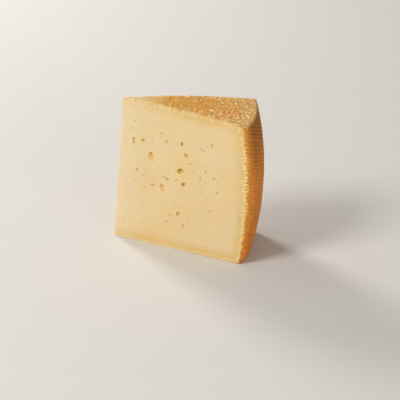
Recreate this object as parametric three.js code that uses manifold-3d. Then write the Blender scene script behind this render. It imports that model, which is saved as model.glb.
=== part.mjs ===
// A wedge of hard sheep's milk cheese, cut from a tall round wheel.
// The wheel is turned on a lathe, pushed a little out of round, and cut by a knife whose two
// strokes meet in a slightly leaning tip. The wedge stands on the wheel's flat underside.
// Millimetres, +Z up, +X from the tip to the heel, the origin under the middle of the wedge.
import * as THREE from "three";
import { mergeVertices } from "three/addons/utils/BufferGeometryUtils.js";
import Module from "manifold-3d";

// The wheel
const RIM_HEIGHT = 116.5; // thickness at the rim
const CENTRE_RISE = 4; // the middle of the wheel is thicker by this much
const TOP_CROWN = 1.8; // the top swells by this between the middle and the rim
const TOP_RADIUS = 111; // radius of the top, measured at the front cut
const FOOT_FLARE = 2.1; // the foot is wider than the top by this much
const HEEL_BULGE = 6.1; // how far the side swells at half height
const TOP_ROUNDING = 1.6; // radius of the upper rim
const FOOT_ROUNDING = 2; // radius of the lower rim
const OUT_OF_ROUND = 2; // the wheel is wider by this at the rear cut
const REAR_BULGE = 1.2; // and its side swells by this much more there

// The ribs that the mould leaves round the side
const RIB_COUNT = 35;
const RIB_DEPTH = 0.55;
const ROWS_PER_RIB = 4;

// The cuts
const WEDGE_ANGLE = THREE.MathUtils.degToRad(33.3);
const TIP_ROUNDING = 0.6; // radius of the blunt tip
const TIP_LEAN = new THREE.Vector2(3.1, 2.1); // how far the tip leans from foot to top
const KNIFE_REACH = 150; // the cuts run past the heel
const KNIFE_OVERRUN = 10; // and past the top and the foot

// How finely the curves are divided
const WHEEL_SEGMENTS = 120;
const TOP_RINGS = 8;
const ROUNDING_STEPS = 4;
const TIP_STEPS = 3;
const EYE_DETAIL = 1;

// The eyes that the front cut opens: distance from the tip, height, radius, and height over width.
const FRONT_EYES = [
  [37, 97, 1.3, 1.0],
  [13, 87.5, 1.2, 1.1],
  [13.5, 85, 1.2, 1.2],
  [21, 88, 1.9, 0.8],
  [41.5, 91, 1.4, 1.0],
  [54.5, 92, 1.5, 1.2],
  [80, 96, 1.3, 1.1],
  [59, 83, 1.6, 1.3],
  [28.5, 77.5, 1.5, 1.2],
  [30, 75, 1.9, 0.9],
  [18, 62, 1.3, 1.0],
  [55, 68.5, 3.0, 0.9],
  [77, 73, 1.2, 1.0],
  [42, 60.5, 1.2, 0.9],
  [44.5, 59.5, 1.3, 1.0],
  [58.5, 58, 1.9, 0.9],
  [84.5, 68, 1.3, 1.0],
  [32.5, 51.5, 1.3, 1.0],
  [40.5, 52, 1.6, 1.3],
  [41, 49.5, 1.6, 1.2],
  [56, 31, 1.7, 1.0],
  [49, 29, 1.1, 1.0],
  [61, 22, 1.1, 1.2],
];

// The rear cut opens eyes of the same kind, spread over the middle of its face.
const REAR_EYE_COUNT = 20;
const REAR_EYE_RADIUS = { least: 1.1, most: 2.4 };
const EYE_MARGIN = { tip: 12, heel: 18, foot: 16, top: 18 };
const EYE_SINK = 0.25; // an eye's centre lies this share of its radius inside the cheese

const topHeight = RIM_HEIGHT + CENTRE_RISE;
const halfAngle = WEDGE_ANGLE / 2;

// A repeatable number from 0 to 1 for each whole number and channel.
function scatter(index, channel) {
  const wave = Math.sin(index * 12.9898 + channel * 78.233) * 43758.5453;
  return wave - Math.floor(wave);
}

// Radius of the side at a share of the rim height, before the rims are rounded.
function sideRadius(share) {
  return TOP_RADIUS + FOOT_FLARE * (1 - share) + 4 * HEEL_BULGE * share * (1 - share);
}

// Half of the wheel's section, from the middle of its foot round the side to the middle of its top.
function wheelProfile() {
  const points = [new THREE.Vector2(0, 0)];
  const addToSide = (height, inset) => {
    points.push(new THREE.Vector2(sideRadius(height / RIM_HEIGHT) - inset, height));
  };
  for (let step = 0; step < ROUNDING_STEPS; step++) {
    const turn = (Math.PI / 2) * (step / ROUNDING_STEPS);
    addToSide(FOOT_ROUNDING * (1 - Math.cos(turn)), FOOT_ROUNDING * (1 - Math.sin(turn)));
  }
  const rows = RIB_COUNT * ROWS_PER_RIB;
  const ribbedHeight = RIM_HEIGHT - FOOT_ROUNDING - TOP_ROUNDING;
  for (let row = 0; row <= rows; row++) {
    const groove = (RIB_DEPTH / 2) * (1 - Math.cos((2 * Math.PI * row) / ROWS_PER_RIB));
    addToSide(FOOT_ROUNDING + (ribbedHeight * row) / rows, groove);
  }
  for (let step = ROUNDING_STEPS - 1; step >= 0; step--) {
    const turn = (Math.PI / 2) * (step / ROUNDING_STEPS);
    const below = TOP_ROUNDING * (1 - Math.cos(turn));
    addToSide(RIM_HEIGHT - below, TOP_ROUNDING * (1 - Math.sin(turn)));
  }
  const edge = points[points.length - 1].x;
  for (let ring = TOP_RINGS - 1; ring >= 0; ring--) {
    const share = ring / TOP_RINGS;
    const height = RIM_HEIGHT + CENTRE_RISE * (1 - share) + 4 * TOP_CROWN * share * (1 - share);
    points.push(new THREE.Vector2(edge * share, height));
  }
  return points;
}

// The whole wheel, widened from the front cut towards the rear one.
function wheelGeometry() {
  const wheel = new THREE.LatheGeometry(wheelProfile(), WHEEL_SEGMENTS);
  wheel.rotateX(Math.PI / 2);
  const position = wheel.getAttribute("position");
  for (let i = 0; i < position.count; i++) {
    const x = position.getX(i);
    const y = position.getY(i);
    const radius = Math.hypot(x, y);
    if (radius < 1) continue; // the middle of the wheel stays where it is
    const turned = (Math.atan2(y, x) + halfAngle) / WEDGE_ANGLE;
    const rearShare = THREE.MathUtils.clamp(turned, 0, 1);
    const share = THREE.MathUtils.clamp(position.getZ(i) / RIM_HEIGHT, 0, 1);
    const extra = OUT_OF_ROUND + 4 * REAR_BULGE * share * (1 - share);
    const wider = 1 + (rearShare * extra) / sideRadius(share);
    position.setXY(i, x * wider, y * wider);
  }
  return wheel;
}

// What the two strokes of the knife leave: a sector with a blunt tip, sheared so that the tip leans.
function knifeGeometry() {
  const sector = new THREE.Shape();
  const arcCentre = TIP_ROUNDING / Math.sin(halfAngle);
  const quarterTurn = Math.PI / 2;
  sector.absarc(arcCentre, 0, TIP_ROUNDING, quarterTurn + halfAngle, 3 * quarterTurn - halfAngle);
  sector.lineTo(KNIFE_REACH * Math.cos(halfAngle), -KNIFE_REACH * Math.sin(halfAngle));
  sector.lineTo(KNIFE_REACH * Math.cos(halfAngle), KNIFE_REACH * Math.sin(halfAngle));
  const knife = new THREE.ExtrudeGeometry(sector, {
    depth: topHeight + 2 * KNIFE_OVERRUN,
    bevelEnabled: false,
    curveSegments: TIP_STEPS,
  });
  knife.translate(0, 0, -KNIFE_OVERRUN);
  const lean = new THREE.Matrix4();
  lean.makeShear(0, 0, 0, 0, TIP_LEAN.x / topHeight, TIP_LEAN.y / topHeight);
  knife.applyMatrix4(lean);
  return knife;
}

// One eye: a small lumpy hollow, set into the cut face that runs from the tip at the given angle.
function eyeGeometry(faceAngle, along, up, radius, stretch, seed) {
  const eye = new THREE.IcosahedronGeometry(1, EYE_DETAIL);
  const position = eye.getAttribute("position");
  const corner = new THREE.Vector3();
  for (let i = 0; i < position.count; i++) {
    corner.fromBufferAttribute(position, i);
    const lump = 1 + 0.12 * Math.sin(3 * corner.x + seed) + 0.1 * Math.cos(4 * corner.z - seed);
    corner.multiplyScalar(radius * lump);
    corner.z *= stretch;
    position.setXYZ(i, corner.x, corner.y, corner.z);
  }
  const inwards = -Math.sign(faceAngle);
  const sink = EYE_SINK * radius * inwards;
  const share = up / topHeight;
  eye.translate(
    TIP_LEAN.x * share + along * Math.cos(faceAngle) - sink * Math.sin(faceAngle),
    TIP_LEAN.y * share + along * Math.sin(faceAngle) + sink * Math.cos(faceAngle),
    up,
  );
  return eye;
}

function frontEyes() {
  return FRONT_EYES.map(([along, up, radius, stretch], index) =>
    eyeGeometry(-halfAngle, along, up, radius, stretch, index),
  );
}

function rearEyes() {
  const reach = TOP_RADIUS - EYE_MARGIN.tip - EYE_MARGIN.heel;
  const rise = RIM_HEIGHT - EYE_MARGIN.foot - EYE_MARGIN.top;
  const spread = REAR_EYE_RADIUS.most - REAR_EYE_RADIUS.least;
  return Array.from({ length: REAR_EYE_COUNT }, (_, index) => {
    const along = EYE_MARGIN.tip + reach * scatter(index, 1);
    const up = EYE_MARGIN.foot + rise * scatter(index, 2);
    const radius = REAR_EYE_RADIUS.least + spread * scatter(index, 3) ** 2;
    const stretch = 0.85 + 0.4 * scatter(index, 4);
    return eyeGeometry(halfAngle, along, up, radius, stretch, index + FRONT_EYES.length);
  });
}

const wasm = await Module();
wasm.setup();

function solidOf(geometry) {
  const bare = geometry.clone();
  bare.deleteAttribute("normal");
  bare.deleteAttribute("uv");
  const merged = mergeVertices(bare, 1e-4);
  return new wasm.Manifold(
    new wasm.Mesh({
      numProp: 3,
      vertProperties: merged.getAttribute("position").array,
      triVerts: new Uint32Array(merged.index.array),
    }),
  );
}

function geometryOf(solid) {
  const mesh = solid.getMesh();
  const geometry = new THREE.BufferGeometry();
  geometry.setAttribute("position", new THREE.BufferAttribute(mesh.vertProperties, 3));
  geometry.setIndex(new THREE.BufferAttribute(mesh.triVerts, 1));
  geometry.computeVertexNormals();
  return geometry;
}

function wedgeGeometry() {
  let wedge = solidOf(wheelGeometry()).intersect(solidOf(knifeGeometry()));
  for (const eye of [...frontEyes(), ...rearEyes()]) {
    wedge = wedge.subtract(solidOf(eye));
  }
  return geometryOf(wedge);
}

// Moves the geometry so that the origin lies on the ground under the middle of its box.
function standOnOrigin(geometry) {
  geometry.computeBoundingBox();
  const middle = geometry.boundingBox.getCenter(new THREE.Vector3());
  geometry.translate(-middle.x, -middle.y, -geometry.boundingBox.min.z);
  return geometry;
}

const paste = new THREE.MeshStandardMaterial({ color: 0xe9cd98, roughness: 0.6, metalness: 0 });

const cheese = new THREE.Mesh(standOnOrigin(wedgeGeometry()), paste);
cheese.name = "cheese";

const part = new THREE.Group();
part.add(cheese);

export default part;
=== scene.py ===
"""The looks of a wedge of ripened sheep's milk cheese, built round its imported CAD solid.

The wedge is made as the real one is: a ribbed and pebbled wheel, the piece of it between two
strokes of a knife, and the eyes that the knife opens. Shapes are worked out in millimetres, with
the wheel's axis upright through the origin, and then moved onto the CAD model's box.
"""

import itertools
import math

import bmesh
import bpy
import numpy as np
from mathutils import Matrix, Vector


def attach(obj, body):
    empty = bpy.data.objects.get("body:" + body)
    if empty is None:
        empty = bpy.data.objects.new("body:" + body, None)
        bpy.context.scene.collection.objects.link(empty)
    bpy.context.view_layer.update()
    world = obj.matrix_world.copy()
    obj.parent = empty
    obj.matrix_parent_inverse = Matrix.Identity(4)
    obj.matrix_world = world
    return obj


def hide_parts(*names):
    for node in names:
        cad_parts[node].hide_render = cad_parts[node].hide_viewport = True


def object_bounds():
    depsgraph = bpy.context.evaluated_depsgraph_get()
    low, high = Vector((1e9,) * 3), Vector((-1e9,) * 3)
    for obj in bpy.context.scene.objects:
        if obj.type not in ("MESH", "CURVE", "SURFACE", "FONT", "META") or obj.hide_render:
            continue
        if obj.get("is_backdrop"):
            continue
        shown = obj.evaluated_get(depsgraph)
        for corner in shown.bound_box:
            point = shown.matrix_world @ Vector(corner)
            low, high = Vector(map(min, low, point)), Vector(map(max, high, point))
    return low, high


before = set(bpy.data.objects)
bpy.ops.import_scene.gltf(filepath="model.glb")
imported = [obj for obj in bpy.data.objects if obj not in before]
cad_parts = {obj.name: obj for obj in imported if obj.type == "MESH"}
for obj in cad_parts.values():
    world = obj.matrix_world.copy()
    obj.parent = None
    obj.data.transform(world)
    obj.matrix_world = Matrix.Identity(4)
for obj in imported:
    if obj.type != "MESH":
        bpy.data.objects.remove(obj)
cad_low, cad_high = (np.array(corner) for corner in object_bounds())

MM = 0.001  # metres

# The wheel, as in the CAD model
RIM_HEIGHT = 116.5
CENTRE_RISE = 4.0
TOP_CROWN = 1.8
TOP_RADIUS = 111.0
FOOT_FLARE = 2.1
HEEL_BULGE = 6.1
TOP_ROUNDING = 1.6
FOOT_ROUNDING = 2.0
OUT_OF_ROUND = 2.0
REAR_BULGE = 1.2
RIB_PITCH = (RIM_HEIGHT - TOP_ROUNDING - FOOT_ROUNDING) / 35
RIB_DEPTH = 0.55
NET_SLOPE = 0.4  # the mould's net crosses the ribs at this slope, both ways

# The cuts, as in the CAD model
WEDGE_ANGLE = math.radians(33.3)
HALF_ANGLE = WEDGE_ANGLE / 2
TIP_ROUNDING = 0.6
TIP_CENTRE = TIP_ROUNDING / math.sin(HALF_ANGLE)  # of the rounding, from where the cuts would meet
TIP_SET_BACK = TIP_CENTRE - TIP_ROUNDING
TIP_LEAN = np.array([3.1, 2.1])
TOP_HEIGHT = RIM_HEIGHT + CENTRE_RISE

# How finely the surfaces are divided
PASTE_STEP = 1.5
CRUMBLE_STEP = 0.62  # on the cut faces beside the rind
RIND_STEP = 0.46
NET_STEP = 0.6  # up the side
FOOT_STEP = 2.0
FINE_STRIPS = {"foot": 4, "top": 7, "tip": 5, "heel": 8}  # widths, on the cut faces

# How far the wheel and the knife are made past the wedge
SIDE_MARGIN = math.radians(3.5)  # the wheel, past each cut
FAN_BACK = np.array([-20.0, 0.0])  # its top and foot fan out from here, behind its axis,
FAN_START = 0.08  # and begin at this share of the way to the side
HEEL_MARGIN = 16.0  # the knife's finely divided part, past the top's radius
KNIFE_REACH = 130.0  # the knife's whole length
KNIFE_OVERRUN = 2.5  # below the foot and above the top

# The map for baking: a square, the places on it of the middle of the side's lower edge and of the
# wheel's axis in the top and in the foot, and the gap above the two cut faces
MAP_SIDE = 272.0
SIDE_CHART = np.array([43.0, 3.0])
TOP_CHART = np.array([90.0, 40.0])
FOOT_CHART = np.array([90.0, 110.0])
MAP_GAP = 3.0

# The relief of the surfaces
PEBBLE_SIZE = 2.1  # width of the rind's pebbles
LARGE_PEBBLE_SIZE = 3.7
LARGE_PEBBLES = 0.35  # share of the large places that hold one
PEBBLE_REACH = 0.75  # how far from its middle a pebble's dome reaches, for its size
PEBBLE_HEIGHT = 0.75
CRUMBLE_ZONE = 2.2  # how far from the top and the foot the paste crumbles
CRUMBLE_DEPTH = 0.3
BREAK_DEPTH = 0.7  # of the larger pieces broken off there
CREASE_DEPTH = 0.22  # of the faint crease that runs under the top

# Thickness of the rind that the cuts show
SIDE_RIND = 3.6
SIDE_RIND_SWELL = 1.7  # it is thicker by this at half height
SIDE_RIND_TAPER = 0.8  # and by this at the top, and thinner by as much at the foot
TOP_RIND = 0.5
FOOT_RIND = 0.6

# The eyes that the front cut opens: distance from the tip, height, radius, height over width
# and the look of the inside.
FRONT_EYES = [
    (55, 68.5, 3.0, 0.9, "deep"),
    (58.5, 58, 1.8, 0.9, "rust"),
    (54.5, 92, 1.4, 1.2, "deep"),
    (21, 88, 1.9, 0.8, "olive"),
    (28.5, 77.5, 1.5, 1.2, "deep"),
    (30, 75, 1.8, 0.9, "amber"),
    (27.4, 75.1, 1.2, 1.0, "amber"),
    (40.5, 52, 1.6, 1.3, "amber"),
    (41, 49.5, 1.6, 1.2, "amber"),
    (59, 83, 1.45, 1.3, "olive"),
    (56, 31, 1.7, 1.0, "amber"),
    (41.5, 91, 1.4, 1.0, "dull"),
    (37, 97, 1.3, 1.0, "dull"),
    (13, 87.5, 1.2, 1.1, "olive"),
    (13.5, 85, 1.2, 1.2, "olive"),
    (18, 62, 1.3, 1.0, "dull"),
    (80, 96, 1.3, 1.1, "dull"),
    (84.5, 68, 1.3, 1.0, "dull"),
    (32.5, 51.5, 1.3, 1.0, "olive"),
    (77, 73, 1.2, 1.0, "dull"),
    (42, 60.5, 1.2, 0.9, "amber"),
    (44.5, 59.5, 1.3, 1.0, "amber"),
    (49, 29, 1.1, 1.0, "dull"),
    (61, 22, 1.1, 1.2, "dull"),
    (73, 66, 1.0, 1.6, "amber"),
    (71.5, 91.5, 0.8, 0.9, "dull"),
    (73.5, 90, 0.8, 0.8, "dull"),
    (90.5, 63, 1.0, 0.8, "dull"),
    (87.5, 56.5, 1.0, 0.8, "dull"),
    (52.5, 60, 1.0, 0.8, "olive"),
    (62.5, 76.5, 1.0, 1.0, "olive"),
    (13, 103, 0.8, 1.0, "dull"),
    (29.5, 88, 0.9, 0.7, "dull"),
    (25, 60.5, 0.8, 1.0, "dull"),
    (23, 58, 0.8, 0.8, "dull"),
    (67, 70.5, 0.8, 0.8, "dull"),
    (25.5, 48.5, 0.8, 0.8, "dull"),
    (74, 54.5, 0.9, 0.8, "dull"),
    (46.5, 22.5, 0.7, 1.8, "dull"),
    (82.5, 40, 0.8, 0.8, "dull"),
]

# For each look: the colour just inside and at the back, and how deep the hollow is for its width.
EYE_LOOKS = {
    "deep": ((0.88, 0.65, 0.24), (0.66, 0.46, 0.11), 0.85),
    "rust": ((0.88, 0.62, 0.27), (0.76, 0.47, 0.15), 0.8),
    "olive": ((0.82, 0.63, 0.27), (0.65, 0.49, 0.14), 0.75),
    "amber": ((0.85, 0.65, 0.30), (0.74, 0.52, 0.19), 0.65),
    "dull": ((0.80, 0.60, 0.27), (0.66, 0.45, 0.16), 0.6),
}
EYE_SINK = 0.25  # an eye's middle lies behind the cut by this share of its depth
FINE_BALL = 1.35  # balls with a larger radius than this are divided more finely
LUMP_ROOM = 1.3  # the room kept round a lumpy ball's middle, in radii
PINHOLES = 30  # on each cut face
PINHOLE_RADIUS = (0.35, 0.65)
REAR_EYES = 20
REAR_EYE_RADIUS = (1.1, 2.4)
EYE_MARGIN = {"tip": 12, "heel": 18, "foot": 16, "top": 18}  # of the rear eyes, as in the CAD model
TIP_NICKS = [(62, 1.7), (26, 1.3), (93, 1.0), (79, 0.8)]  # height and radius
RIM_CHIPS = 34  # at the heel of each cut face, and as many along its top

# Colours of the paste, as linear albedo
CREAM = (0.818, 0.690, 0.450)
PASTE = (0.818, 0.605, 0.302)
MOTTLE = (0.73, 0.56, 0.28)
GRAIN = (0.88, 0.74, 0.46)
UNDER_RIND = (0.75, 0.51, 0.175)
CLUMP = (0.90, 0.78, 0.48)
# Painted shade between the pale clumps beside the rind.
PAINTED_GAP_SHADE = (0.62, 0.44, 0.17)
CRUMB = (0.88, 0.67, 0.33)
STAIN = (0.86, 0.59, 0.24)
SPECK = (0.55, 0.40, 0.17)
# The rind in section: its tones from the paste outwards, and the shares of its depth where each
# begins to fade and ends.
RIND_SECTION = (
    (0.8, 1.15, (0.73, 0.41, 0.08)),
    (0.5, 0.9, (0.58, 0.245, 0.034)),
    (0.1, 0.6, (0.48, 0.165, 0.016)),
)

# Colours of the top's rind
TOP = {
    "gold": (0.70, 0.335, 0.084),
    "ochre": (0.64, 0.35, 0.078),
    "dusty": (0.64, 0.42, 0.175),
    "orange": (0.69, 0.30, 0.048),
    # Painted shade in the crevices.
    "crevice": (0.52, 0.20, 0.027),
    # Pale crowns: partly paler rind, partly painted highlight.
    "crown": (0.83, 0.52, 0.25),
    # Painted glints on the palest crowns.
    "painted_glint": (0.98, 0.83, 0.50),
    "cream": (0.78, 0.585, 0.335),
    "straw": (0.70, 0.455, 0.17),
    "rim": (0.68, 0.37, 0.105),
    "crumb": (0.82, 0.62, 0.29),
}

# Colours of the heel's rind
HEEL = {
    "orange": (0.74, 0.27, 0.048),
    "brown": (0.62, 0.215, 0.034),
    "red": (0.74, 0.215, 0.05),
    # The next two: painted shade in the net's grooves and painted highlight on its ridges.
    "groove": (0.40, 0.13, 0.02),
    "painted_ridge_highlight": (0.82, 0.37, 0.08),
    # Darker under the top rim: a browner rind there, and painted shade under the rim's overhang.
    "rim_shade_and_brown": (0.30, 0.11, 0.02),
    # A painted glow beside the cuts.
    "painted_cut_glow": (0.86, 0.32, 0.03),
    "pale streak": (0.88, 0.42, 0.10),
    "dark streak": (0.42, 0.13, 0.02),
}

# The camera's angles, its distance, what it is aimed at, and how far it then moves to its right
# and down, which leaves the wedge left of the middle and above it. In degrees and metres.
VIEW_AZIMUTH, VIEW_ELEVATION, VIEW_ROLL = 5.15, 25.15, 3.01
VIEW_DISTANCE = 1.8
VIEW_TARGET = Vector((-0.00025, -0.00363, 0.058))
VIEW_MOVE_RIGHT = 0.00888
VIEW_MOVE_DOWN = 0.0178
LENS = 202.5
SENSOR = 36

# The lamps: place, width, power and colour
LAMPS = {
    "key": ((-1.1, -1.0, 1.3), 0.7, 20.2, (1.0, 0.985, 0.96)),
    "fill": ((0.9, -1.07, 0.22), 0.4, 4, (1.0, 0.89, 0.75)),
    "back": ((-1.0, 1.0, 0.75), 0.5, 15, (1.0, 0.965, 0.92)),
}
LAMPS_AIM = (0, 0, 0.06)
SKY = ((1.0, 0.98, 0.95, 1), 0.35)  # colour and strength
FLOOR_SIZE = 8


# ---------------------------------------------------------------- noise


def hashed(cells, seed):
    """A repeatable number from 0 to 1 for each whole-number cell."""
    x, y, z = (cells[..., k].astype(np.int64).astype(np.uint64) for k in range(3))
    mixed = x * np.uint64(73856093) ^ y * np.uint64(19349663) ^ z * np.uint64(83492791)
    mixed = (mixed ^ np.uint64(seed * 2654435761)) & np.uint64(0xFFFFFFFF)
    for factor in (0x45D9F3B, 0x119DE1F3):
        mixed = ((mixed ^ (mixed >> np.uint64(16))) * np.uint64(factor)) & np.uint64(0xFFFFFFFF)
    return (mixed ^ (mixed >> np.uint64(16))) / 0xFFFFFFFF


def noise(points, size, seed):
    """Smooth noise from -1 to 1, with lumps about as wide as size."""
    at = points / size
    cell = np.floor(at)
    part = at - cell
    part = part * part * (3 - 2 * part)
    total = 0.0
    for corner in itertools.product((0, 1), repeat=3):
        weight = np.prod(np.where(corner, part, 1 - part), axis=-1)
        total = total + weight * hashed(cell + corner, seed)
    return 2 * total - 1


def pebbles(places, size, seed):
    """Pebbles scattered one to a square: how high each place lies on its pebble, from 0 in a
    crevice to 1 on the crown, and that pebble's own number from 0 to 1."""
    at = places / size
    square = np.floor(at)
    nearest = np.full(at.shape[:-1], np.inf)
    own = np.zeros(at.shape[:-1])
    for step in itertools.product((-1, 0, 1), repeat=2):
        near = square + step
        cell = np.concatenate([near, 0 * near[..., :1]], -1)
        spot = near + np.stack([hashed(cell, seed), hashed(cell, seed + 1)], -1)
        gap = np.linalg.norm(at - spot, axis=-1)
        own = np.where(gap < nearest, hashed(cell, seed + 2), own)
        nearest = np.minimum(nearest, gap)
    return np.clip(1 - (nearest / PEBBLE_REACH) ** 2, 0, 1), own


def smoothstep(low, high, value):
    """Goes smoothly from 0 to 1 as value goes from low to high."""
    share = np.clip((value - low) / (high - low), 0, 1)
    return share * share * (3 - 2 * share)


# ---------------------------------------------------------------- the wheel's form


def side_radius(share):
    """The side's radius at a share of the rim's height, measured at the front cut."""
    return TOP_RADIUS + FOOT_FLARE * (1 - share) + 4 * HEEL_BULGE * share * (1 - share)


def widening(azimuth, share):
    """How many times wider the wheel is towards the rear cut."""
    rear = np.clip((azimuth + HALF_ANGLE) / WEDGE_ANGLE, 0, 1)
    extra = OUT_OF_ROUND + 4 * REAR_BULGE * share * (1 - share)
    return 1 + rear * extra / side_radius(share)


def edge_radius(azimuth, height):
    """The side's radius at a height, with the rims rounded and no ribs."""
    share = np.clip(height / RIM_HEIGHT, 0, 1)
    above = np.clip(height - (RIM_HEIGHT - TOP_ROUNDING), 0, TOP_ROUNDING)
    below = np.clip(FOOT_ROUNDING - height, 0, FOOT_ROUNDING)
    inset = TOP_ROUNDING - np.sqrt(TOP_ROUNDING**2 - above**2)
    inset = inset + FOOT_ROUNDING - np.sqrt(FOOT_ROUNDING**2 - below**2)
    return (side_radius(share) - inset) * widening(azimuth, share)


def top_height(radius, azimuth):
    """The height of the top, which is higher towards the middle of the wheel."""
    edge = (TOP_RADIUS - TOP_ROUNDING) * widening(azimuth, 1)
    share = np.clip(radius / edge, 0, 1)
    return RIM_HEIGHT + CENTRE_RISE * (1 - share) + 4 * TOP_CROWN * share * (1 - share)


def to_rind(points):
    """How far points in the wheel are from its top, its side and its foot."""
    radius = np.linalg.norm(points[..., :2], axis=-1)
    azimuth = np.arctan2(points[..., 1], points[..., 0])
    height = points[..., 2]
    return (
        top_height(radius, azimuth) - height,
        edge_radius(azimuth, np.clip(height, 0, RIM_HEIGHT)) - radius,
        height,
    )


# ---------------------------------------------------------------- relief


def top_pebbles(points):
    """The pebbles of the top and the foot, pushed out of round, with some large ones among them:
    how high each place lies on its pebble, that pebble's own number, and how far it stands out."""
    push = np.stack([noise(points, 2.2, 5), noise(points, 2.2, 6)], -1)
    places = points[..., :2] + 0.6 * push
    dome, own = pebbles(places, PEBBLE_SIZE, 3)
    rise = (0.2 + 1.2 * own**2) * (dome - 0.4)
    large_dome, large_own = pebbles(places, LARGE_PEBBLE_SIZE, 17)
    large_own = (large_own + LARGE_PEBBLES - 1) / LARGE_PEBBLES
    large_rise = np.where(large_own > 0, (0.5 + 0.8 * large_own) * (large_dome - 0.4), -1)
    larger = large_rise > rise
    dome = np.where(larger, large_dome, dome)
    own = np.where(larger, large_own, own)
    return dome, own, np.maximum(rise, large_rise)


def net_imprint(points):
    """The imprint of the mould's net on the side, from -1 in the meshes' grooves to 0 on the
    ridges. One set of strands, which falls towards the rear cut, has pressed in harder."""
    azimuth = np.arctan2(points[..., 1], points[..., 0])
    run = TOP_RADIUS * (azimuth + HALF_ANGLE) + 0.8 * noise(points, 9, 13)
    height = points[..., 2] - FOOT_ROUNDING
    height = height + 0.45 * noise(points, (22, 22, 9), 8) + 0.25 * noise(points, (7, 7, 4), 9)
    falling, rising = (
        0.5 - 0.5 * np.cos(2 * np.pi * (height + slope * run) / RIB_PITCH)
        for slope in (NET_SLOPE, -NET_SLOPE)
    )
    return -(0.66 * falling + 0.34 * rising)


def rind_relief(points, on_side):
    """How far the rind stands out: pebbles on the top and foot, lower in the middle of the wheel,
    and the net's imprint between."""
    broad = 0.18 * noise(points, 16, 1) + 0.14 * noise(points, 5, 2)
    grain = 0.10 * noise(points, 1.5, 7) + 0.05 * noise(points, 0.8, 14)
    worn = 0.4 + 0.6 * smoothstep(12, 45, np.hypot(points[..., 0], points[..., 1]))
    plain = broad + grain + PEBBLE_HEIGHT * worn * top_pebbles(points)[2]
    strength = 1.35 + 0.5 * noise(points, 9, 10) + 0.3 * noise(points, 4, 11)
    side = 1.2 * broad + 0.8 * grain + RIB_DEPTH * strength * net_imprint(points)
    return plain * (1 - on_side) + side * on_side


def side_rind(points):
    """The thickness of the side's rind at the height of each point."""
    share = np.clip(points[..., 2] / RIM_HEIGHT, 0, 1)
    return SIDE_RIND + 4 * SIDE_RIND_SWELL * share * (1 - share) + SIDE_RIND_TAPER * (2 * share - 1)


def rind_share(points, distances):
    """How deep places on a cut lie in the rind: 0 at its outside, 1 where the paste begins. The
    three rinds run smoothly into one another at the corners."""
    limits = (TOP_RIND, side_rind(points), FOOT_RIND)
    shares = np.stack([distance / limit for distance, limit in zip(distances, limits)])
    return -np.log(np.exp(-3 * np.clip(shares, -1, 9)).sum(axis=0)) / 3


def paste_relief(points, distances, along):
    """How far a cut face stands out: nearly flat, but crumbled and broken beside the rind, and with
    a faint crease under the top. Along is the distance from the tip."""
    from_top, from_side, from_foot = distances
    behind_side = np.maximum(from_side - side_rind(points), 0) + 1.2  # counted from the rind's inner edge
    to_edge = np.minimum(np.minimum(from_top, from_foot), behind_side)
    waves = 0.16 * noise(points, 24, 21) + 0.05 * noise(points, 7, 22)
    near = 1 - smoothstep(0.4, CRUMBLE_ZONE, to_edge)
    pits = np.minimum(0, noise(points, 1.5, 24) + 0.6 * noise(points, 0.8, 25) - 0.1)
    broken = (1 - smoothstep(1.0, 6.0, to_edge)) * np.minimum(0, noise(points, 3.4, 27) + 0.15)
    crease = smoothstep(4.2, 5.0, from_top + 0.5 * noise(points, 9, 26))
    crease = crease * (1 - smoothstep(5.4, 9.0, from_top))
    crease = crease * smoothstep(20, 32, along) * (1 - smoothstep(60, 78, along))
    return waves + CRUMBLE_DEPTH * near * pits + BREAK_DEPTH * broken - CREASE_DEPTH * crease


# ---------------------------------------------------------------- meshes


def mesh_object(name, points, faces, material):
    """An object of points in millimetres, with all its faces turned outwards."""
    mesh = bpy.data.meshes.new(name)
    mesh.from_pydata(points.reshape(-1, 3).tolist(), [], faces)
    mesh.materials.append(material)
    work = bmesh.new()
    work.from_mesh(mesh)
    bmesh.ops.recalc_face_normals(work, faces=work.faces)
    work.to_mesh(mesh)
    work.free()
    piece = bpy.data.objects.new(name, mesh)
    bpy.context.scene.collection.objects.link(piece)
    return piece


def closed_tube(name, rings, material):
    """A closed mesh through a row of closed rings: rings[i, j] is corner j of ring i."""
    index = np.arange(rings.shape[0] * rings.shape[1]).reshape(rings.shape[:2])
    near, far = index[:-1], index[1:]
    quads = np.stack([near, np.roll(near, -1, 1), np.roll(far, -1, 1), far], -1)
    caps = [index[0].tolist(), index[-1].tolist()]
    return mesh_object(name, rings, quads.reshape(-1, 4).tolist() + caps, material)


def steps(low, high, step):
    """Evenly spaced values from low to high, no further apart than step."""
    return np.linspace(low, high, math.ceil(abs(high - low) / step) + 1)


def graded(*stretches):
    """Values along stretches that follow one another, each with its own step."""
    parts = [steps(*stretch) for stretch in stretches]
    return np.concatenate([parts[0], *(part[1:] for part in parts[1:])])


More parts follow.
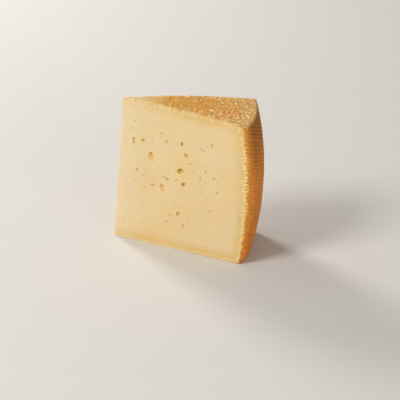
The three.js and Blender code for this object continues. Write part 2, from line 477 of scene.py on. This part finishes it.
def wheel_section():
    """Rows round half of the wheel's section, from the foot round the side to the top: the reach
    from the fan's back to the edge, the inset and the height of each, and where it faces."""
    foot = steps(FAN_START, 1, FOOT_STEP / TOP_RADIUS)[:-1]
    side = steps(FOOT_ROUNDING, RIM_HEIGHT - TOP_ROUNDING, NET_STEP)
    top = steps(1, FAN_START, RIND_STEP * 1.15 / TOP_RADIUS)[1:]
    low_turn = steps(0, math.pi / 2, RIND_STEP / FOOT_ROUNDING)[:-1]
    high_turn = steps(math.pi / 2, 0, RIND_STEP / TOP_ROUNDING)[1:]
    rows = [(reach, FOOT_ROUNDING, 0.0, 0.0, -1.0) for reach in foot]
    for turn in low_turn:
        inset = FOOT_ROUNDING * (1 - math.sin(turn))
        height = FOOT_ROUNDING * (1 - math.cos(turn))
        rows.append((1.0, inset, height, math.sin(turn), -math.cos(turn)))
    rows += [(1.0, 0.0, height, 1.0, 0.0) for height in side]
    for turn in high_turn:
        inset = TOP_ROUNDING * (1 - math.sin(turn))
        height = RIM_HEIGHT - TOP_ROUNDING * (1 - math.cos(turn))
        rows.append((1.0, inset, height, math.sin(turn), math.cos(turn)))
    rows += [(reach, TOP_ROUNDING, RIM_HEIGHT, 0.0, 1.0) for reach in top]
    return np.array(rows)


def wheel(material):
    """The sector of the wheel that holds the wedge, with the relief of its rind."""
    reach, inset, height, out, up = wheel_section().T
    limit = HALF_ANGLE + SIDE_MARGIN
    azimuth = steps(-limit, limit, RIND_STEP / TOP_RADIUS)[:, None]
    share = height / RIM_HEIGHT
    radius = (side_radius(share) - inset) * widening(azimuth, share)
    edge = radius[..., None] * np.stack([np.cos(azimuth), np.sin(azimuth)], -1)
    flat = FAN_BACK + (edge - FAN_BACK) * reach[:, None]
    distance = np.linalg.norm(flat, axis=-1)
    level = np.where(up > 0.999, top_height(distance, azimuth), height)
    points = np.concatenate([flat, level[..., None]], -1)
    relief = rind_relief(points, smoothstep(0.2, 0.9, out))
    relief = np.where(up < -0.9, -0.35 * np.abs(relief), relief)  # the foot is pressed flat
    points[..., :2] += (relief * out)[..., None] * flat / distance[..., None]
    points[..., 2] += relief * up
    return closed_tube("wheel", points, material)


def face_directions(angle):
    """Along a cut from the tip to the heel, and outwards from it, for the cut at an angle."""
    along = np.array([math.cos(angle), math.sin(angle)])
    outwards = np.array([-along[1], along[0]]) * math.copysign(1, angle)
    return along, outwards


def knife(material):
    """What the two strokes leave: a blunt-tipped prism that leans, with the cut faces' relief."""
    low, high = FINE_STRIPS["foot"], RIM_HEIGHT - FINE_STRIPS["top"]
    height = graded(
        (-KNIFE_OVERRUN, low, CRUMBLE_STEP),
        (low, high, PASTE_STEP),
        (high, TOP_HEIGHT + KNIFE_OVERRUN, CRUMBLE_STEP),
    )[:, None]
    tangent = TIP_ROUNDING / math.tan(HALF_ANGLE)
    near, far, past = FINE_STRIPS["tip"], TOP_RADIUS - FINE_STRIPS["heel"], TOP_RADIUS + HEEL_MARGIN
    run = graded(
        (tangent, near, CRUMBLE_STEP),
        (near, far, PASTE_STEP),
        (far, past, CRUMBLE_STEP),
        (past, KNIFE_REACH, KNIFE_REACH),
    )
    outline, facing = [], []
    for angle, order in ((-HALF_ANGLE, run[::-1]), (HALF_ANGLE, run)):
        along, outwards = face_directions(angle)
        outline.append(order[:, None] * along)
        facing.append(np.broadcast_to(outwards, outline[-1].shape))
    turn = np.linspace(1.5 * math.pi - HALF_ANGLE, 0.5 * math.pi + HALF_ANGLE, 7)[1:-1]
    turned = np.stack([np.cos(turn), np.sin(turn)], -1)
    tip = np.array([TIP_CENTRE, 0]) + TIP_ROUNDING * turned
    outline = np.concatenate([outline[0], tip, outline[1]])
    facing = np.concatenate([facing[0], turned, facing[1]])
    flat = outline + (height / TOP_HEIGHT)[..., None] * TIP_LEAN
    points = np.concatenate([flat, np.broadcast_to(height[..., None], flat.shape[:2] + (1,))], -1)
    along = np.linalg.norm(outline, axis=-1)
    relief = paste_relief(points, to_rind(points), along)
    relief = relief * smoothstep(0, 4, along)
    points[..., :2] += relief[..., None] * facing
    return closed_tube("knife", points, material)


def combine(target, tool, operation):
    """Cuts or joins two closed meshes, and keeps the result in the target."""
    cut = target.modifiers.new("cut", "BOOLEAN")
    cut.operation = operation
    cut.object = tool
    cut.solver = "MANIFOLD"
    cut.material_mode = "TRANSFER"
    made = bpy.data.meshes.new_from_object(
        target.evaluated_get(bpy.context.evaluated_depsgraph_get())
    )
    target.modifiers.remove(cut)
    old = target.data
    target.data = made
    bpy.data.meshes.remove(old)
    bpy.data.objects.remove(tool)


# ---------------------------------------------------------------- eyes and nicks


def on_cut(angle, along, height, depth):
    """A point near a cut face, at a depth behind it."""
    direction, outwards = face_directions(angle)
    lean = TIP_LEAN * height / TOP_HEIGHT
    return np.array([*(lean + along * direction - depth * outwards), height])


def hollow(middle, radius, stretch, look, depth=1.0, facing=(0.0, -1.0)):
    """A hollow to cut: a ball, stretched in height, and made shallower the way that it faces."""
    return {
        "middle": middle,
        "radius": radius,
        "stretch": stretch,
        "look": look,
        "depth": depth,
        "facing": np.array([*facing, 0.0]),
    }


def eye(angle, along, height, radius, stretch, look):
    """An eye, opened by the cut at an angle."""
    depth = EYE_LOOKS[look][2]
    middle = on_cut(angle, along, height, EYE_SINK * radius * depth)
    return hollow(middle, radius, stretch, look, depth, face_directions(angle)[1])


def scatter(index, channel):
    """A repeatable number from 0 to 1, the same as in the CAD model."""
    wave = math.sin(index * 12.9898 + channel * 78.233) * 43758.5453
    return wave - math.floor(wave)


def rear_eyes():
    """The eyes that the rear cut opens, at the places of the CAD model."""
    reach = TOP_RADIUS - EYE_MARGIN["tip"] - EYE_MARGIN["heel"]
    rise = RIM_HEIGHT - EYE_MARGIN["foot"] - EYE_MARGIN["top"]
    least, most = REAR_EYE_RADIUS
    found = []
    for index in range(REAR_EYES):
        along = EYE_MARGIN["tip"] + reach * scatter(index, 1)
        height = EYE_MARGIN["foot"] + rise * scatter(index, 2)
        radius = least + (most - least) * scatter(index, 3) ** 2
        stretch = 0.85 + 0.4 * scatter(index, 4)
        look = "deep" if radius > 1.7 else ("olive", "amber", "dull")[index % 3]
        found.append(eye(HALF_ANGLE, along, height, radius, stretch, look))
    return found


def pinholes(angle, seed):
    """Tiny eyes, spread over the middle of a cut face."""
    rng = np.random.default_rng(seed)
    found = []
    for _ in range(PINHOLES):
        along = rng.uniform(4, 96)
        height = rng.uniform(10, 108)
        radius = rng.uniform(*PINHOLE_RADIUS)
        found.append(eye(angle, along, height, radius, rng.uniform(0.7, 1.3), "dull"))
    return found


def tip_nicks():
    """Small bites out of the edge between the two cuts, from a little way inside it."""
    found = []
    for height, radius in TIP_NICKS:
        middle = np.array([*(TIP_LEAN * height / TOP_HEIGHT), height]) + (1.0, -0.2, 0)
        found.append(hollow(middle, radius, 0.8, "dull"))
    return found


def rim_chips(seed):
    """Crumbs missing where the rind meets the cut faces, by turns at the heel and along the top."""
    rng = np.random.default_rng(seed)
    found = []
    for angle, _ in itertools.product((-HALF_ANGLE, HALF_ANGLE), range(RIM_CHIPS)):
        height = rng.uniform(2, RIM_HEIGHT - 3)
        edge = edge_radius(angle, height) - 0.6
        middle = on_cut(angle, edge + rng.uniform(-1.0, 0.8), height, rng.uniform(-0.5, 0.1))
        radius = 0.4 + 0.9 * rng.random() ** 2
        found.append(hollow(middle, radius, 1.0, "crumb"))
        along = rng.uniform(8, TOP_RADIUS - 4)
        height = top_height(along, angle) - rng.uniform(0.1, 1.1)
        middle = on_cut(angle, along, height, rng.uniform(-0.2, 0.2))
        found.append(hollow(middle, rng.uniform(0.35, 0.75), 0.8, "crumb"))
    return found


def touching(hole, other):
    """Whether two hollows may overlap."""
    room = sum(LUMP_ROOM * each["radius"] * max(1, each["stretch"]) for each in (hole, other))
    return np.linalg.norm(hole["middle"] - other["middle"]) <= room + 0.05


def apart(holes):
    """Groups of holes in which no two touch, because one cut takes no tools that overlap."""
    groups = []
    for hole in holes:
        for group in groups:
            if not any(touching(hole, other) for other in group):
                group.append(hole)
                break
        else:
            groups.append([hole])
    return groups


def lumpy(ball, hole):
    """The corners of a ball of radius 1, shaped as a hole and moved to its place."""
    lumps = 1 + 0.42 * noise(ball + 7 * hole["middle"], 1.2, 31)
    lumps = lumps + 0.15 * noise(ball + 7 * hole["middle"], 0.5, 32)
    ball = ball + np.outer(ball @ hole["facing"], hole["facing"]) * (hole["depth"] - 1)
    return ball * lumps[:, None] * hole["radius"] * (1, 1, hole["stretch"]) + hole["middle"]


def hollow_tool(holes, looks):
    """The lumpy balls that cut a group of holes, each in the material of its look."""
    work = bmesh.new()
    names = list(looks)
    for hole in holes:
        fine = 3 if hole["radius"] > FINE_BALL else 2
        made = bmesh.ops.create_icosphere(work, subdivisions=fine, radius=1)["verts"]
        ball = np.array([corner.co for corner in made])
        for corner, place in zip(made, lumpy(ball, hole)):
            corner.co = place
        for face in {face for corner in made for face in corner.link_faces}:
            face.material_index = names.index(hole["look"])
    mesh = bpy.data.meshes.new("holes")
    work.to_mesh(mesh)
    work.free()
    for name in names:
        mesh.materials.append(looks[name])
    tool = bpy.data.objects.new("holes", mesh)
    bpy.context.scene.collection.objects.link(tool)
    return tool


# ---------------------------------------------------------------- materials


class Shader:
    """A material with short calls for the nodes that it is made of."""

    def __init__(self, name):
        self.material = bpy.data.materials.new(name)
        self.material.use_nodes = True
        self.tree = self.material.node_tree
        self.surface = self.tree.nodes["Principled BSDF"]
        self.place = self.node("ShaderNodeTexCoord").outputs["Object"]

    def node(self, kind, inputs=None, **settings):
        made = self.tree.nodes.new(kind)
        for key, value in settings.items():
            setattr(made, key, value)
        for key, value in (inputs or {}).items():
            self.put(made.inputs[key], value)
        return made

    def put(self, socket, value):
        """Sets a socket to a number or colour, or links it to another node's output."""
        if isinstance(value, bpy.types.NodeSocket):
            self.tree.links.new(value, socket)
        elif isinstance(value, tuple) and len(value) == 3 and socket.type == "RGBA":
            socket.default_value = (*value, 1)
        else:
            socket.default_value = value

    def attribute(self, name):
        """One of the fields that add_fields stores."""
        return self.node("ShaderNodeAttribute", attribute_name=name).outputs["Fac"]

    def stretched(self, scale, turn=(0.0, 0.0, 0.0)):
        """The place, for a texture that is turned and then drawn out by a scale."""
        inputs = {"Vector": self.place, "Rotation": turn, "Scale": scale}
        return self.node("ShaderNodeMapping", inputs, vector_type="TEXTURE").outputs[0]

    def noise(self, size, detail=2.0, rough=0.5, place=None):
        """Noise from 0 to 1, with lumps of that size in millimetres."""
        inputs = {"Vector": place or self.place, "Scale": 1 / (size * MM)}
        inputs |= {"Detail": detail, "Roughness": rough}
        return self.node("ShaderNodeTexNoise", inputs).outputs["Fac"]

    def maths(self, operation, first, second):
        made = self.node("ShaderNodeMath", operation=operation)
        self.put(made.inputs[0], first)
        self.put(made.inputs[1], second)
        return made.outputs[0]

    def plus(self, first, second):
        return self.maths("ADD", first, second)

    def times(self, first, second):
        return self.maths("MULTIPLY", first, second)

    def larger(self, first, second):
        return self.maths("MAXIMUM", first, second)

    def between(self, value, low, high, low_out=0.0, high_out=1.0):
        """Goes smoothly from one number to another as value goes from low to high."""
        inputs = {"Value": value, "From Min": low, "From Max": high}
        inputs |= {"To Min": low_out, "To Max": high_out}
        return self.node("ShaderNodeMapRange", inputs, interpolation_type="SMOOTHSTEP").outputs[0]

    def mix(self, share, first, second):
        """The first colour, with that share of the second."""
        made = self.node("ShaderNodeMix", data_type="RGBA", blend_type="MIX")
        self.put(made.inputs[0], share)
        self.put(made.inputs[6], first)
        self.put(made.inputs[7], second)
        return made.outputs[2]

    def bump(self, height, distance, strength):
        """Roughens the shading by a height, which stands for a distance in millimetres."""
        inputs = {"Height": height, "Distance": distance * MM, "Strength": strength}
        self.put(self.surface.inputs["Normal"], self.node("ShaderNodeBump", inputs).outputs[0])

    def finish(self, **sockets):
        """Fills the surface's own sockets, and gives back the material."""
        for name, value in sockets.items():
            self.put(self.surface.inputs[name.replace("_", " ")], value)
        return self.material


def paste_body(paste, mottle, rough_rind):
    """The paste itself: cloudy and mottled, creamier at the tip and yellower under the rind."""
    to_top = paste.attribute("to_top")
    from_tip = paste.attribute("from_tip")
    colour = paste.mix(paste.between(paste.noise(26, 3, 0.55), 0.3, 0.7, 0, 0.5), PASTE, CREAM)
    colour = paste.mix(paste.between(from_tip, 2, 26, 0.8, 0), colour, CREAM)
    colour = paste.mix(paste.between(mottle, 0.35, 0.7, 0, 0.3), colour, MOTTLE)
    colour = paste.mix(paste.between(paste.noise(1.3, 2, 0.6), 0.52, 0.7, 0, 0.25), colour, GRAIN)
    band = paste.times(paste.between(rough_rind, 2.5, 11, 0.95, 0),
                       paste.between(paste.noise(15, 2), 0.3, 0.65, 0.6, 1))
    low = paste.times(paste.between(to_top, 40, 80), paste.between(from_tip, 4, 36, 0.55, 1))
    strength = paste.larger(paste.between(from_tip, 10, 60, 0.4, 1), low)
    return paste.mix(paste.times(band, strength), colour, UNDER_RIND)


def crumbled_edge(paste, colour, lumps, rough_rind):
    """The strip beside the rind: pale clumps, painted shade between the clumps, and crumbs along the edge
    itself.
    """
    behind = paste.attribute("to_rind")
    to_top = paste.attribute("to_top")
    clumps = paste.times(paste.between(lumps, 0.5, 0.62), paste.between(rough_rind, 8, 3))
    by_height = paste.times(paste.between(to_top, 6, 14, 0.35, 0.6),
                            paste.between(to_top, 50, 105, 1, 0.4))
    colour = paste.mix(paste.times(clumps, by_height), colour, CLUMP)
    # Painted shade between the clumps, near the rind.
    gap_shade = paste.times(paste.between(lumps, 0.45, 0.33), paste.between(behind, 6, 2))
    colour = paste.mix(paste.times(gap_shade, 0.45), colour, PAINTED_GAP_SHADE)
    crumbs = paste.plus(behind, paste.between(paste.noise(0.8, 4, 0.7), 0.25, 0.75, -1, 1))
    crumbs = paste.plus(crumbs, paste.between(lumps, 0.3, 0.7, -1.5, 0.9))
    edge = paste.times(paste.between(crumbs, 0.9, 2.4, 0.75, 0), paste.between(to_top, 1, 5, 0.3, 1))
    return paste.mix(edge, colour, CRUMB)


def rind_in_section(paste, colour, lumps):
    """The rind where the cuts show its thickness. The paste bites into it behind the net's ridges,
    less towards the foot, and hardly at the upper end, where the rind is a little thicker."""
    to_top = paste.attribute("to_top")
    teeth = paste.times(paste.between(paste.attribute("net"), -0.9, -0.2, -0.2, 0.2),
                        paste.between(to_top, 45, 100, 1, 0.45))
    teeth = paste.times(teeth, paste.between(to_top, 10, 28, 0.3, 1))
    thicker = paste.times(paste.between(to_top, 10, 28, -0.13, 0), paste.between(to_top, 1, 8))
    share = paste.plus(paste.attribute("rind"), paste.between(lumps, 0.3, 0.7, -0.22, 0.22))
    share = paste.plus(paste.plus(share, teeth), thicker)
    strength = paste.larger(paste.between(paste.attribute("from_side"), 5, 9, 1, 0),
                            paste.between(paste.attribute("from_tip"), 40, 80, 0, 0.2))
    for outer, inner, tone in RIND_SECTION:
        within = paste.times(paste.between(share, outer, inner, 1, 0), strength)
        colour = paste.mix(within, colour, tone)
    return colour


def paste_material():
    """The cut faces: a pale, close paste, the rind round it, stains at the eyes and dark specks."""
    paste = Shader("paste")
    mottle = paste.noise(2.2, 3, 0.55)
    lumps = paste.noise(2.7, 3, 0.6)
    blur = paste.between(paste.noise(4, 3), 0, 1, -1.5, 1.5)
    rough_rind = paste.plus(paste.attribute("to_rind"), blur)
    colour = paste_body(paste, mottle, rough_rind)
    colour = crumbled_edge(paste, colour, lumps, rough_rind)
    colour = rind_in_section(paste, colour, lumps)
    colour = paste.mix(paste.times(paste.attribute("stain"), 0.55), colour, STAIN)
    specks = paste.between(paste.noise(0.9, 2, 0.7), 0.67, 0.76, 0, 0.45)
    colour = paste.mix(specks, colour, SPECK)
    paste.bump(paste.plus(paste.noise(0.7, 3, 0.6), paste.noise(2.4, 2)), 0.10, 0.6)
    return paste.finish(
        Base_Color=colour,
        Roughness=paste.between(mottle, 0.3, 0.7, 0.42, 0.58),
        Subsurface_Weight=0.25,
        Subsurface_Radius=(0.004, 0.0025, 0.0012),
        Subsurface_Scale=1.0,
        Specular_IOR_Level=0.4,
    )


def top_colour(rind, patchy, zones, fine):
    """The top's rind: golden pebbles with painted shade in their crevices and pale crowns that are partly
    paler rind and partly painted highlight, plain and straw-coloured at the tip, and crumbly along the
    cuts. Also gives the mask of the painted glints on the palest crowns."""
    dome = rind.attribute("dome")
    depth = rind.attribute("depth")
    from_tip = rind.attribute("from_tip")
    top = rind.mix(rind.between(zones, 0.4, 0.6), TOP["gold"], TOP["ochre"])
    top = rind.mix(rind.between(from_tip, 88, 108, 0, 0.7), top, TOP["dusty"])
    top = rind.mix(rind.between(patchy, 0.5, 0.7, 0, 0.6), top, TOP["orange"])
    # Painted shade in the crevices between pebbles, deepest where a pebble is lowest.
    top = rind.mix(rind.between(dome, 0.35, 0.0, 0, 0.7), top, TOP["crevice"])
    # The pale pebbles, partly paler rind and partly painted highlight, are chosen by their own numbers,
    # more of them towards the heel.
    chosen = rind.plus(rind.attribute("pebble"), rind.between(from_tip, 20, 105, -0.4, 0.2))
    chosen = rind.plus(chosen, rind.between(patchy, 0.35, 0.65, 0.14, -0.14))
    crown = rind.times(rind.between(dome, 0.35, 0.9), rind.between(fine, 0.3, 0.55))
    pale = rind.times(crown, rind.between(chosen, 0.35, 0.8, 0, 0.8))
    top = rind.mix(pale, top, TOP["crown"])
    # Painted glints: near-white spots on the crowns of a few pebbles, which the roughness below also
    # makes glossier.
    painted_glint = rind.times(rind.between(dome, 0.7, 0.95), rind.between(chosen, 0.86, 1.0))
    top = rind.mix(painted_glint, top, TOP["painted_glint"])
    tip = rind.mix(rind.between(from_tip, 6, 30), TOP["cream"], TOP["straw"])
    top = rind.mix(rind.between(from_tip, 24, 40), tip, top)
    top = rind.mix(rind.between(rind.attribute("from_side"), 4, 0.5, 0, 0.6), top, TOP["rim"])
    crumbly = rind.plus(depth, rind.between(rind.noise(3.4, 4, 0.6), 0.3, 0.7, -2.8, 2.8))
    return rind.mix(rind.between(crumbly, -0.2, 1.8, 0.9, 0), top, TOP["crumb"]), painted_glint


def heel_colour(rind, patchy, zones):
    """The side's rind: orange, with painted shade in the net's grooves and painted highlights on its
    ridges, darker towards the top rim by a browner rind and painted shade together, a painted glow beside
    the cuts, and streaked along the net's harder strands."""
    relief = rind.attribute("relief")
    heel = rind.mix(rind.between(patchy, 0.3, 0.7), HEEL["orange"], HEEL["brown"])
    heel = rind.mix(rind.between(zones, 0.45, 0.6, 0, 0.5), heel, HEEL["red"])
    # Painted shade in the net's grooves and painted highlights on its ridges, by the relief's height.
    heel = rind.mix(rind.between(relief, -0.3, -0.9, 0, 0.6), heel, HEEL["groove"])
    heel = rind.mix(rind.between(relief, -0.25, 0.2, 0, 0.45), heel, HEEL["painted_ridge_highlight"])
    # Darker towards the top rim: partly the rind's browner tone, partly painted shade under the rim's
    # overhang.
    below_rim = rind.plus(rind.attribute("to_top"), rind.between(patchy, 0.2, 0.8, -14, 14))
    heel = rind.mix(rind.between(below_rim, -5, 55, 0.9, 0), heel, HEEL["rim_shade_and_brown"])
    # A painted glow beside the cuts: a brighter orange standing in for light scattered through the rind's
    # edge, on top of the real subsurface glow.
    painted_glow_reach = rind.plus(rind.attribute("depth"), rind.between(patchy, 0.2, 0.8, -3, 3))
    heel = rind.mix(rind.between(painted_glow_reach, -1, 12, 0.6, 0), heel, HEEL["painted_cut_glow"])
    streak_place = rind.stretched((2.4, 2.4, 1.0), (-math.atan(NET_SLOPE), 0.0, 0.0))
    streaks = rind.noise(1.5, 4, 0.65, streak_place)
    heel = rind.mix(rind.between(streaks, 0.48, 0.7, 0, 0.3), heel, HEEL["pale streak"])
    return rind.mix(rind.between(streaks, 0.48, 0.3, 0, 0.35), heel, HEEL["dark streak"])


def rind_material():
    """The pebbled golden top, the ribbed browner side, and the foot."""
    rind = Shader("rind")
    on_side = rind.attribute("on_side")
    patchy = rind.noise(7, 4, 0.6)
    zones = rind.noise(15, 3, 0.6)
    fine = rind.noise(1.2, 3, 0.65)
    top, painted_glint = top_colour(rind, patchy, zones, fine)
    gloss = rind.times(painted_glint, rind.maths("SUBTRACT", 1.0, on_side))
    glow = rind.times(rind.between(rind.attribute("depth"), 0, 10, 1, 0), on_side)
    rind.bump(rind.plus(fine, rind.noise(0.6, 3, 0.6)), 0.12, 0.7)
    return rind.finish(
        Base_Color=rind.mix(on_side, top, heel_colour(rind, patchy, zones)),
        Roughness=rind.between(gloss, 0.0, 0.7, 0.62, 0.3),
        Subsurface_Weight=rind.between(glow, 0, 1, 0.15, 0.7),
        Subsurface_Radius=(0.006, 0.0025, 0.0006),
        Subsurface_Scale=1.0,
        Specular_IOR_Level=0.05,
    )


def eye_material(name, colour, deep):
    """The smooth, moist inside of an eye, darker at its back."""
    inside = Shader("eye_" + name)
    depth = inside.between(inside.attribute("depth"), 0.2, 1.6)
    shade = inside.mix(depth, colour, deep)
    shade = inside.mix(inside.between(inside.noise(1.1, 2), 0.4, 0.7, 0, 0.4), shade, deep)
    inside.bump(inside.noise(0.5, 2), 0.06, 0.5)
    return inside.finish(
        Base_Color=shade,
        Roughness=0.38,
        Subsurface_Weight=0.1,
        Subsurface_Radius=(0.003, 0.002, 0.0008),
        Subsurface_Scale=1.0,
    )


def floor_material():
    """Plain pale paper, with a trace of grain."""
    floor = Shader("floor")
    tone = floor.noise(30, 3)
    floor.bump(floor.noise(1.2, 2), 0.05, 0.2)
    return floor.finish(
        Base_Color=floor.mix(tone, (0.71, 0.69, 0.66), (0.73, 0.71, 0.68)),
        Roughness=0.9,
        Specular_IOR_Level=0.2,
    )


# ---------------------------------------------------------------- the finished wedge


def read(items, name, kind=np.int32, width=1):
    """One property of all vertices, loops or faces of a mesh, in one row."""
    values = np.empty(len(items) * width, kind)
    items.foreach_get(name, values)
    return values


def places_of(mesh):
    """The places of a mesh's vertices, one to a row."""
    return read(mesh.vertices, "co", float, 3).reshape(-1, 3)


def cut_place(points):
    """Distance along the nearer cut from the tip, and depth behind it, for points in the wedge."""
    flat = points[:, :2] - TIP_LEAN * points[:, 2:] / TOP_HEIGHT
    along = flat[:, 0] * math.cos(HALF_ANGLE) + np.abs(flat[:, 1]) * math.sin(HALF_ANGLE)
    depth = flat[:, 0] * math.sin(HALF_ANGLE) - np.abs(flat[:, 1]) * math.cos(HALF_ANGLE)
    return along, depth


def charts(points):
    """Where points would lie on the map in each of its charts: the two cut faces side by side at
    its top, and under them the side, the top and the foot."""
    azimuth = np.arctan2(points[:, 1], points[:, 0])
    lean = TIP_LEAN * points[:, 2:] / TOP_HEIGHT
    rear = points[:, 1] - lean[:, 1] >= 0
    run = np.where(rear, 1, -1) * (cut_place(points)[0] - TIP_SET_BACK * math.cos(HALF_ANGLE))
    row = MAP_SIDE - TOP_HEIGHT - MAP_GAP
    return np.stack([
        np.stack([MAP_SIDE / 2 + run, row + points[:, 2]], -1),
        SIDE_CHART + np.stack([azimuth * TOP_RADIUS, points[:, 2]], -1),
        TOP_CHART + points[:, :2],
        FOOT_CHART + points[:, :2],
    ])


def lay_out(mesh):
    """Lays the faces out on the map for baking. The rind's faces go by what their first corner is
    nearest to, and all others to the cut faces."""
    points = places_of(mesh)
    from_top, from_side, from_foot = to_rind(points)
    chart_of_point = 1 + np.argmin(np.stack([from_side, from_top, from_foot]), axis=0)
    corners = read(mesh.loops, "vertex_index")
    counts = read(mesh.polygons, "loop_total")
    first = np.cumsum(counts) - counts
    on_rind = read(mesh.polygons, "material_index") == 0
    chart = np.where(on_rind, chart_of_point[corners[first]], 0)
    places = charts(points)[np.repeat(chart, counts), corners] / MAP_SIDE
    layer = mesh.uv_layers.new(name="OFBake")
    layer.uv.foreach_set("vector", places.astype(np.float32).ravel())


def add_fields(mesh, holes):
    """Stores what the materials read: places on the wedge, the relief, and stains round the
    larger eyes."""
    points = places_of(mesh)
    from_top, from_side, from_foot = to_rind(points)
    along, depth = cut_place(points)
    on_side = smoothstep(0.2, 0.9, 0.5 + (np.minimum(from_top, from_foot) - from_side) / 4)
    dome, own, _ = top_pebbles(points)
    stain = np.zeros(len(points))
    for hole in holes:
        if hole["look"] not in ("dull", "crumb") and hole["radius"] > 1:
            gap = np.linalg.norm(points - hole["middle"], axis=1) / hole["radius"]
            stain = np.maximum(stain, 1 - smoothstep(0.8, 2.2, gap))
    behind_side = from_side - side_rind(points) + 0.8  # counted from the rind's inner edge
    fields = {
        "rind": rind_share(points, (from_top, from_side, from_foot)),
        "to_rind": np.minimum(np.minimum(from_top, from_foot), behind_side),
        "net": net_imprint(points),
        "to_top": from_top,
        "from_side": from_side,
        "from_tip": along,
        "depth": depth,
        "on_side": on_side,
        "relief": rind_relief(points, on_side),
        "dome": dome,
        "pebble": own,
        "stain": stain,
    }
    for name, values in fields.items():
        layer = mesh.attributes.new(name, "FLOAT", "POINT")
        layer.data.foreach_set("value", np.ascontiguousarray(values, np.float32))


def straighten(work):
    """Takes out the corners at which only two faces meet, since they would fold into thin flaps."""
    while spare := [corner for corner in work.verts if len(corner.link_edges) == 2]:
        bmesh.ops.dissolve_verts(work, verts=spare)


def drop_crumbs(work):
    """Deletes the loose slivers that the cuts leave beside the wedge: all parts but the largest."""
    unseen = set(work.verts)
    parts = []
    while unseen:
        part, border = set(), [unseen.pop()]
        while border:
            corner = border.pop()
            part.add(corner)
            near = {edge.other_vert(corner) for edge in corner.link_edges} & unseen
            unseen -= near
            border.extend(near)
        parts.append(part)
    parts.sort(key=len)
    loose = [corner for part in parts[:-1] for corner in part]
    bmesh.ops.delete(work, geom=loose, context="VERTS")


def sharpen_seams(work):
    """Shades the mesh smooth, but for the edges where two materials meet."""
    for face in work.faces:
        face.smooth = True
    for edge in work.edges:
        edge.smooth = len({face.material_index for face in edge.link_faces}) == 1


def mend(mesh):
    """Cleans up what the cuts leave, and sets how the edges are shaded."""
    work = bmesh.new()
    work.from_mesh(mesh)
    straighten(work)
    drop_crumbs(work)
    sharpen_seams(work)
    work.to_mesh(mesh)
    work.free()


def wedge():
    """The whole piece: the wheel, cut by the knife, with its eyes, nicks and chips. A chip lays
    bare the paste."""
    looks = {look: eye_material(look, near, far) for look, (near, far, _) in EYE_LOOKS.items()}
    looks["crumb"] = paste_material()
    piece = wheel(rind_material())
    combine(piece, knife(looks["crumb"]), "INTERSECT")
    holes = [eye(-HALF_ANGLE, *values) for values in FRONT_EYES]
    holes += rear_eyes() + tip_nicks() + rim_chips(5)
    holes += pinholes(-HALF_ANGLE, 11) + pinholes(HALF_ANGLE, 12)
    for group in apart(holes):
        combine(piece, hollow_tool(group, looks), "DIFFERENCE")
    piece.name = "cheese_wedge"
    mend(piece.data)
    add_fields(piece.data, holes)
    lay_out(piece.data)
    return piece


def seat(piece):
    """Moves the mesh, in metres, to where the CAD model's wedge stands."""
    points = places_of(piece.data) * MM
    axis_x = cad_low[0] - TIP_SET_BACK * MM
    axis_y = (cad_low[1] + cad_high[1]) / 2 - (points[:, 1].min() + points[:, 1].max()) / 2
    points += (axis_x, axis_y, cad_low[2])
    piece.data.vertices.foreach_set("co", points.ravel())
    piece.data.update()


# ---------------------------------------------------------------- camera, floor and light


def make_camera():
    """Looks down a little on the front cut, with the head tipped by the lean of the wedge."""
    azimuth, elevation, roll = map(math.radians, (VIEW_AZIMUTH, VIEW_ELEVATION, VIEW_ROLL))
    level = math.cos(elevation)
    right = Vector((math.cos(azimuth), math.sin(azimuth), 0))
    back = Vector((math.sin(azimuth) * level, -math.cos(azimuth) * level, math.sin(elevation)))
    up = back.cross(right)
    tipped_right = right * math.cos(roll) + up * math.sin(roll)
    tipped_up = up * math.cos(roll) - right * math.sin(roll)
    place = VIEW_TARGET + back * VIEW_DISTANCE
    place = place + tipped_right * VIEW_MOVE_RIGHT - tipped_up * VIEW_MOVE_DOWN
    data = bpy.data.cameras.new("camera")
    data.sensor_width = SENSOR
    data.lens = LENS
    camera = bpy.data.objects.new("camera", data)
    turned = Matrix((tipped_right, tipped_up, back)).transposed().to_4x4()
    camera.matrix_world = Matrix.Translation(place) @ turned
    bpy.context.scene.collection.objects.link(camera)
    bpy.context.scene.camera = camera


def softbox(name, place, size, power, colour):
    """A round soft lamp, aimed at the cheese."""
    data = bpy.data.lights.new(name, "AREA")
    data.shape = "DISK"
    data.size = size
    data.energy = power
    data.color = colour
    light = bpy.data.objects.new(name, data)
    light.location = place
    light.rotation_euler = (Vector(LAMPS_AIM) - Vector(place)).to_track_quat("-Z", "Y").to_euler()
    bpy.context.scene.collection.objects.link(light)


def make_studio():
    """A plain pale floor, soft lamps and a dim even sky."""
    bpy.ops.mesh.primitive_plane_add(size=FLOOR_SIZE)
    floor = bpy.context.object
    floor.name = "floor"
    floor.data.materials.append(floor_material())
    floor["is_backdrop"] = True
    for name, settings in LAMPS.items():
        softbox(name, *settings)
    world = bpy.data.worlds.new("studio")
    world.use_nodes = True
    sky = world.node_tree.nodes["Background"].inputs
    sky["Color"].default_value, sky["Strength"].default_value = SKY
    bpy.context.scene.world = world
    bpy.context.scene.view_settings.view_transform = "Standard"


make_camera()
make_studio()
cheese = wedge()
seat(cheese)
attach(cheese, "root")
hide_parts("cheese")

bpy.context.view_layer.update()
